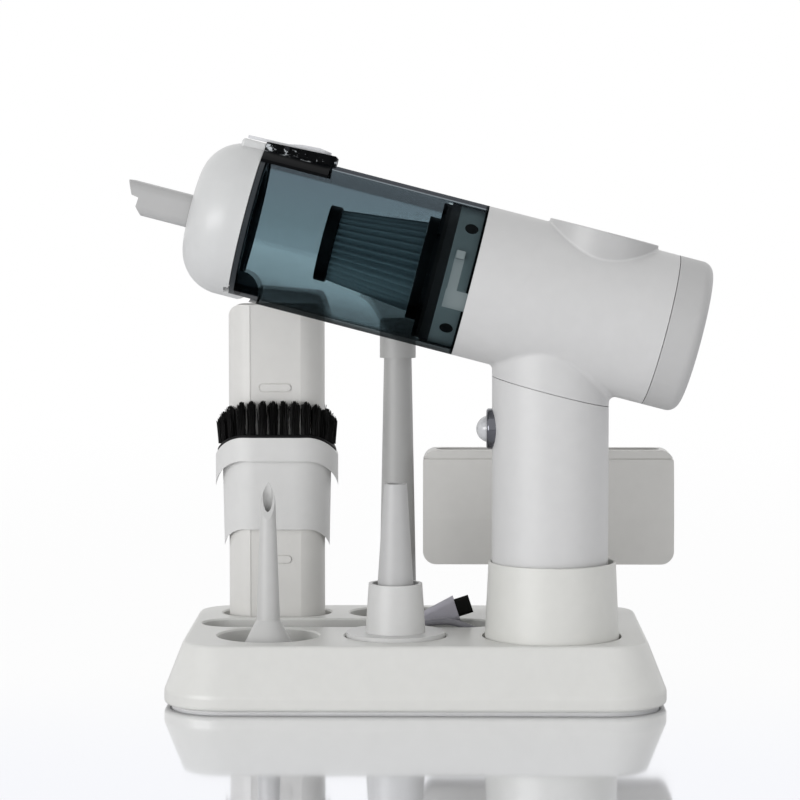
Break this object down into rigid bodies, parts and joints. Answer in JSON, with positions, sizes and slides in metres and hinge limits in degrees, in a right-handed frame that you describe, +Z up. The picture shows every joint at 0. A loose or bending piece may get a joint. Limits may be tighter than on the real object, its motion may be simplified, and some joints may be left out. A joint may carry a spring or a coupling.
{
  "type": "handheld vacuum cleaner",
  "caption": "Cordless handheld vacuum cleaner with a clear dust cup, standing on a storage dock with its nozzles, sliding brush and charging cable.",
  "frame": {"origin": "middle of the dock pad's underside, on the table", "axes": "+X to the right along the dock, +Y to the back row, +Z up"},
  "size_m": [0.2496, 0.142, 0.2445],
  "materials": {
    "white_gloss": "glossy white moulded plastic",
    "grey_plastic": "plain grey moulded plastic",
    "pad_rubber": "soft grey rubber",
    "steel": "plain steel",
    "cable_grey": "satin grey cable jacket",
    "tie_black": "matte black plastic band",
    "overmould_lilac": "satin lilac-grey overmould",
    "plug_black": "black plated steel",
    "plug_steel": "bright steel",
    "shell_white": "satin off-white moulded plastic",
    "handle_white": "satin off-white moulded plastic",
    "cell_wrap": "shrink-wrapped cell",
    "dark_plastic": "dark moulded plastic",
    "board_green": "printed circuit board",
    "dark_chrome": "dark chrome plating",
    "pearl_button": "pearl grey gloss plastic",
    "ring_grey": "satin grey-green plastic",
    "impeller_plastic": "dark moulded plastic",
    "motor_steel": "plain steel can",
    "foam_black": "open black foam",
    "gasket_black": "dark satin plastic",
    "filter_cloth": "dark slate pleated filter cloth",
    "smoke_clear": "clear smoke-tinted plastic",
    "latch_smoke": "dark smoked plastic",
    "lever_silver": "silver-white gloss plastic",
    "nose_pearl": "pearl grey gloss plastic",
    "seal_rubber": "soft black rubber",
    "attachment_grey": "satin pale grey plastic",
    "attachment_light": "satin near-white plastic",
    "bristle_black": "black nylon bristles"
  },
  "bodies": {
    "dock": {"dock_shell": "white_gloss", "dock_bottom_cover": "grey_plastic", "non_slip_pad": "pad_rubber", "dock_screws": "steel", "handle_socket": "white_gloss", "cable_lead": "cable_grey", "cable_hank": "cable_grey", "cable_tail": "cable_grey", "cable_tie": "tie_black", "usb_c_overmould": "overmould_lilac", "usb_c_shell": "plug_black", "usb_a_overmould": "overmould_lilac", "usb_a_shell": "plug_steel"},
    "vacuum": {"body_shell": "shell_white", "handle_shell": "handle_white", "handle_base": "handle_white", "charge_port": "plug_steel", "battery_cells": "cell_wrap", "battery_holder": "dark_plastic", "circuit_board": "board_green", "power_switch": "dark_plastic", "button_bezel": "dark_chrome", "bayonet_ring": "ring_grey", "ring_plugs": "dark_plastic", "fan_shroud": "dark_plastic", "motor_bracket": "dark_plastic", "motor_can": "motor_steel", "motor_screws": "steel"},
    "button": {"power_button": "pearl_button"},
    "fan": {"impeller": "impeller_plastic", "motor_shaft": "steel"},
    "exhaust": {"rear_cap": "shell_white", "exhaust_foam": "foam_black"},
    "filter": {"filter_cap": "gasket_black", "filter_pleats": "filter_cloth", "filter_base": "gasket_black"},
    "cup": {"dust_cup": "smoke_clear", "cup_front_ring": "gasket_black", "hinge_pin": "steel", "latch_base": "latch_smoke", "latch_pin": "steel"},
    "latch": {"latch_lever": "lever_silver"},
    "nose": {"nose_cap": "nose_pearl", "nose_seal": "seal_rubber", "inlet_plate": "dark_plastic"},
    "flap": {"inlet_flap": "seal_rubber"},
    "inlet_spout": {"spout": "shell_white"},
    "crevice": {"crevice_tube": "attachment_grey"},
    "brush": {"brush_head": "attachment_grey", "brush_bristles": "bristle_black"},
    "pointed": {"pointed_nozzle": "attachment_grey"},
    "adapter": {"cone_adapter": "attachment_grey"},
    "cone": {"cone_tube": "attachment_light"},
    "tall": {"tall_nozzle": "attachment_grey", "tall_nozzle_tip": "attachment_grey"},
    "wide": {"wide_nozzle": "attachment_grey"}
  },
  "joints": [
    {"name": "vacuum_lift", "type": "slide", "parent": "dock", "child": "vacuum", "axis": [0, 0, 1], "range_m": [0, 0.06]},
    {"name": "cup_twist", "type": "hinge", "parent": "vacuum", "child": "cup", "pos_m": [-0.02481, -0.031, 0.19462], "axis": [-0.9681, 0, 0.2504], "range_deg": [0, 35]},
    {"name": "nose_open", "type": "hinge", "parent": "cup", "child": "nose", "pos_m": [-0.07585, -0.031, 0.17776], "axis": [0, -1, 0], "range_deg": [0, 85]},
    {"name": "latch_press", "type": "hinge", "parent": "cup", "child": "latch", "pos_m": [-0.05478, -0.031, 0.23847], "axis": [0, 1, 0], "range_deg": [0, 7], "stiffness_Nm_per_rad": 0.05},
    {"name": "flap_open", "type": "hinge", "parent": "nose", "child": "flap", "pos_m": [-0.07181, -0.031, 0.21535], "axis": [0, -1, 0], "range_deg": [0, 60], "stiffness_Nm_per_rad": 0.0003, "springref_deg": -11.46},
    {"name": "filter_pull", "type": "slide", "parent": "vacuum", "child": "filter", "axis": [-0.9681, 0, 0.2504], "range_m": [0, 0.022]},
    {"name": "spout_pull", "type": "slide", "parent": "nose", "child": "inlet_spout", "axis": [-0.9681, 0, 0.2504], "range_m": [0, 0.025]},
    {"name": "rear_cap_pull", "type": "slide", "parent": "vacuum", "child": "exhaust", "axis": [0.9681, 0, -0.2504], "range_m": [0, 0.012]},
    {"name": "button_press", "type": "slide", "parent": "vacuum", "child": "button", "axis": [1, 0, 0], "range_m": [0, 0.0014], "stiffness_N_per_m": 600},
    {"name": "fan_spin", "type": "hinge", "parent": "vacuum", "child": "fan", "pos_m": [0.03812, -0.031, 0.17834], "axis": [-0.9681, 0, 0.2504], "continuous": true},
    {"name": "crevice_lift", "type": "slide", "parent": "dock", "child": "crevice", "axis": [0, 0, 1], "range_m": [0, 0.06]},
    {"name": "brush_slide", "type": "slide", "parent": "crevice", "child": "brush", "axis": [0, 0, 1], "range_m": [0, 0.06]},
    {"name": "pointed_lift", "type": "slide", "parent": "dock", "child": "pointed", "axis": [0, 0, 1], "range_m": [0, 0.04]},
    {"name": "adapter_lift", "type": "slide", "parent": "dock", "child": "adapter", "axis": [0, 0, 1], "range_m": [0, 0.04]},
    {"name": "cone_pull", "type": "slide", "parent": "adapter", "child": "cone", "axis": [0, 0, 1], "range_m": [0, 0.02]},
    {"name": "tall_lift", "type": "slide", "parent": "dock", "child": "tall", "axis": [0, 0, 1], "range_m": [0, 0.035]},
    {"name": "wide_lift", "type": "slide", "parent": "dock", "child": "wide", "axis": [0, 0, 1], "range_m": [0, 0.06]}
  ]
}
